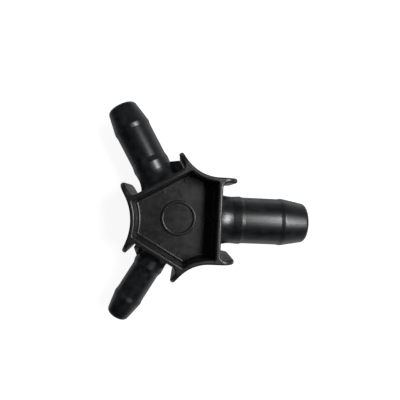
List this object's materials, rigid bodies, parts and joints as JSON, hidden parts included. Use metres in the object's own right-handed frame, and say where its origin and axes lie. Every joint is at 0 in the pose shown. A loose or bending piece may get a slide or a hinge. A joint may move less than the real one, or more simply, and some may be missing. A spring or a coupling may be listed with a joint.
{
  "type": "pipe calibrating and bevelling tool",
  "caption": "Star-shaped hand tool with mandrels at equal angles around a pan-shaped hub, for rounding and bevelling the mouths of plastic pipes.",
  "frame": {"origin": "where the three mandrel axes meet, at mid-depth of the hub", "axes": "+X along the large mandrel towards its nose, +Z along the hub's depth towards the front pan"},
  "size_m": [0.0867, 0.0937, 0.03],
  "materials": {
    "black_hub_plastic": "satin",
    "black_mandrel_plastic": "satin",
    "blade_steel": "brushed"
  },
  "bodies": {
    "root": {"front_shell": "black_hub_plastic", "back_shell": "black_hub_plastic", "mandrel_large": "black_mandrel_plastic", "mandrel_medium": "black_mandrel_plastic", "mandrel_small": "black_mandrel_plastic", "centre_button": "black_hub_plastic", "centre_socket": "black_hub_plastic", "bevel_blade_large": "blade_steel", "bevel_blade_medium": "blade_steel", "bevel_blade_small": "blade_steel"}
  },
  "joints": []
}
